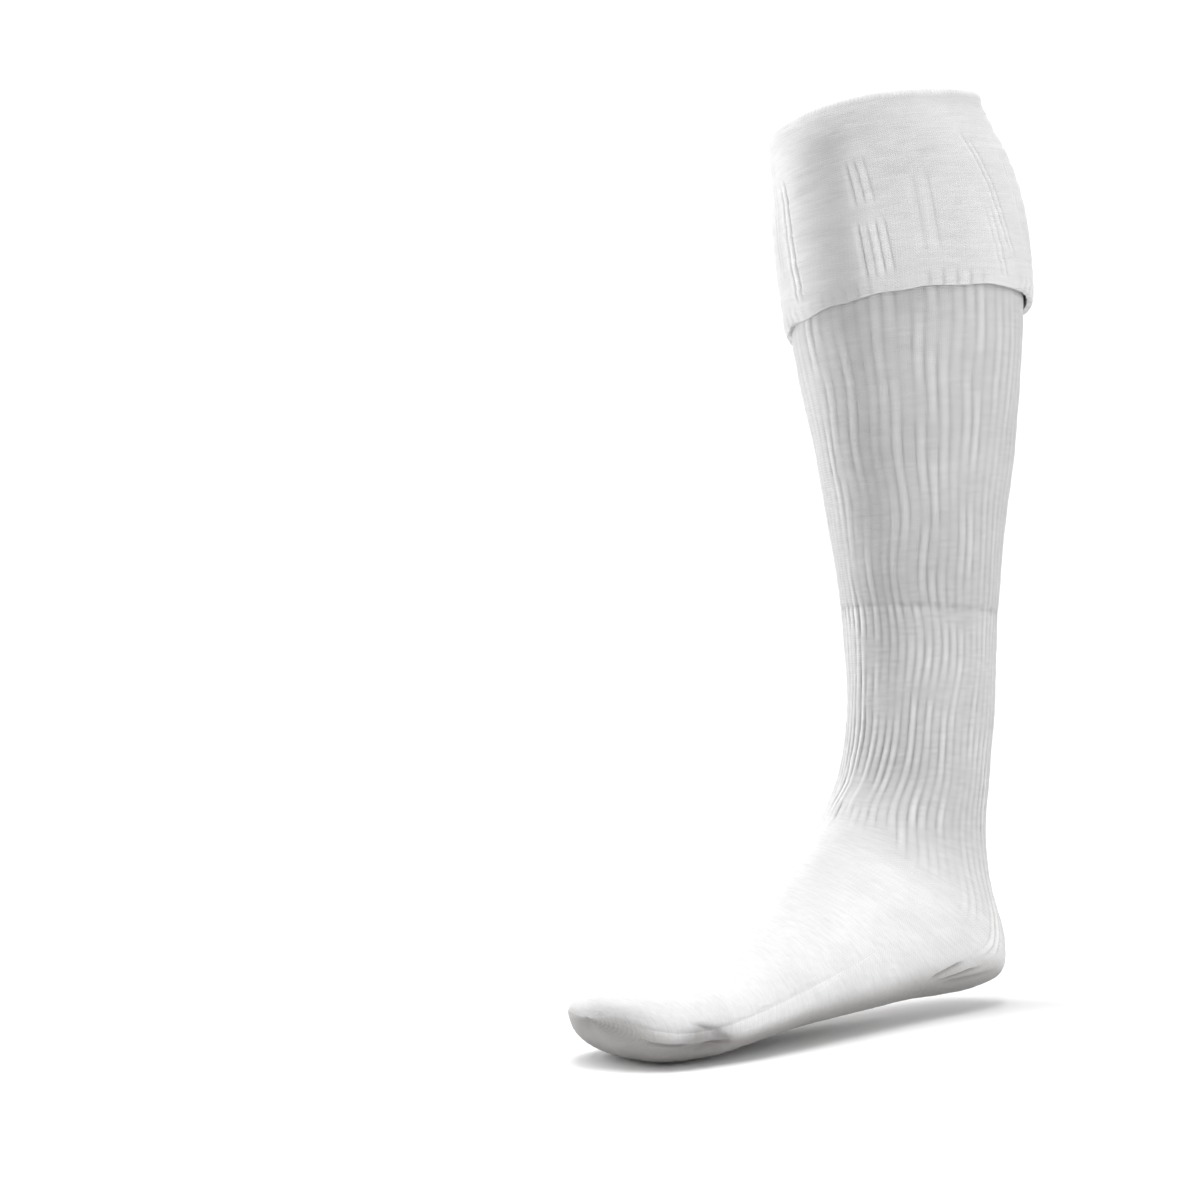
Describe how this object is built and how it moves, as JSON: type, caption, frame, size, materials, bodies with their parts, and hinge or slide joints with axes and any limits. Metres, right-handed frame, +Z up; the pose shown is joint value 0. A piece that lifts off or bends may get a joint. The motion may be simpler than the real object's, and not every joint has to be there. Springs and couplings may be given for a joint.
{
  "type": "knee-high sock",
  "caption": "Knee-high ribbed knit sock in its worn form, with a deep turned-over cuff at the top of the leg, a ribbed ankle, and a plain foot with a rounded toe.",
  "frame": {"origin": "inner face of the sole, under the leg's axis, where the wearer's heel and sole seat", "axes": "+Z up the leg towards the opening, -Y towards the toes, +X towards the outer side of a left foot"},
  "size_m": [0.1256, 0.2855, 0.4544],
  "materials": {
    "cuff_knit": "soft matt smooth knit, folded over",
    "calf_rib_knit": "soft matt fine rib knit",
    "ankle_rib_knit": "soft matt deep rib knit",
    "foot_plain_knit": "soft matt plain knit",
    "toe_plain_knit": "soft matt plain knit"
  },
  "bodies": {
    "root": {"turnover_cuff": "cuff_knit", "calf": "calf_rib_knit", "ankle_and_heel": "ankle_rib_knit", "foot": "foot_plain_knit", "toe_cap": "toe_plain_knit"}
  },
  "joints": []
}
